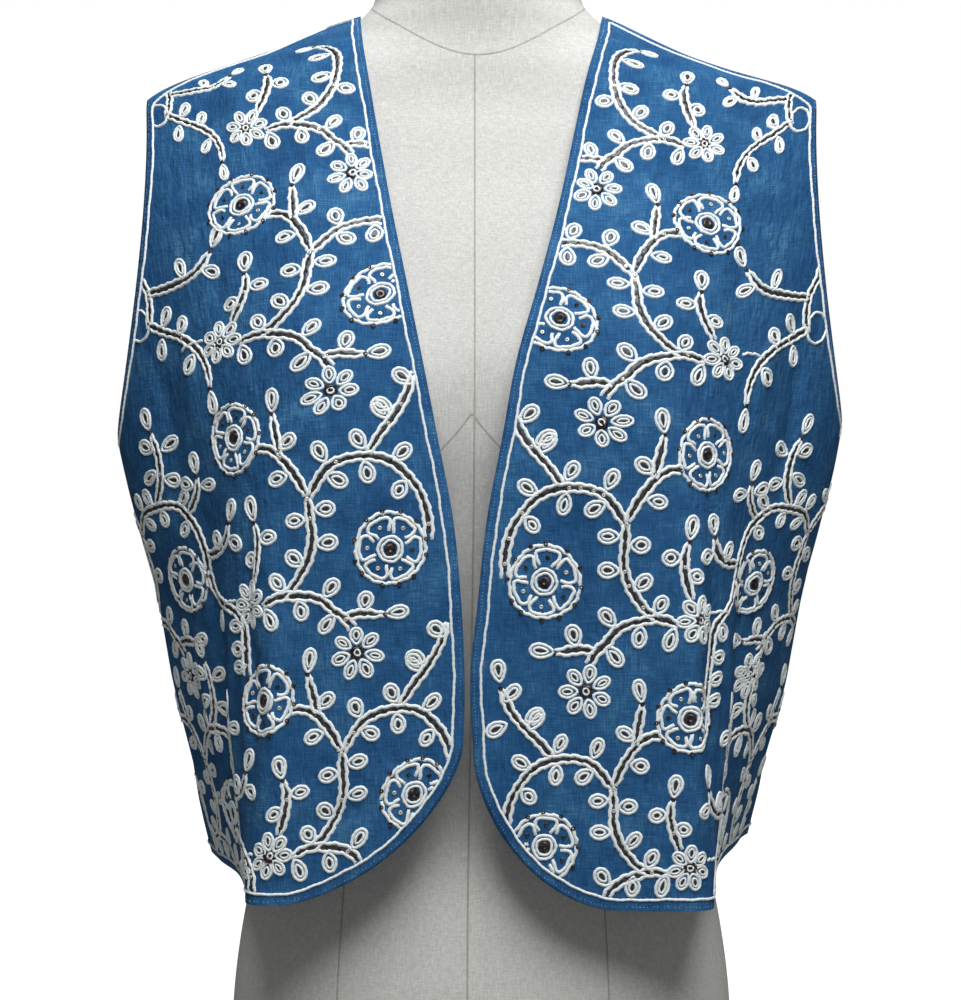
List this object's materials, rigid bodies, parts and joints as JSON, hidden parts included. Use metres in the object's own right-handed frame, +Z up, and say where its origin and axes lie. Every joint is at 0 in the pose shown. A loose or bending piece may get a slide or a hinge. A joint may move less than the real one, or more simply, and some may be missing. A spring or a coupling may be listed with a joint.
{
  "type": "embroidered waistcoat on a dress form",
  "caption": "Open collarless cotton waistcoat with rounded fronts and chain-stitched vines, worn by a limbless linen dress form.",
  "frame": {"origin": "middle of the dress form's flat underside", "axes": "+Z up the form's axis towards the neck, -Y the way the fronts face, +X towards the wearer's left"},
  "size_m": [0.4466, 0.2615, 0.7423],
  "materials": {
    "cotton_cloth": "plain woven indigo cotton, matt, slightly slubbed",
    "form_linen": "undyed linen cover, fine plain weave",
    "cap_wood": "turned beech, waxed"
  },
  "bodies": {
    "root": {"front_left": "cotton_cloth", "front_right": "cotton_cloth", "back": "cotton_cloth", "dress_form": "form_linen", "neck_cap": "cap_wood"}
  },
  "joints": []
}
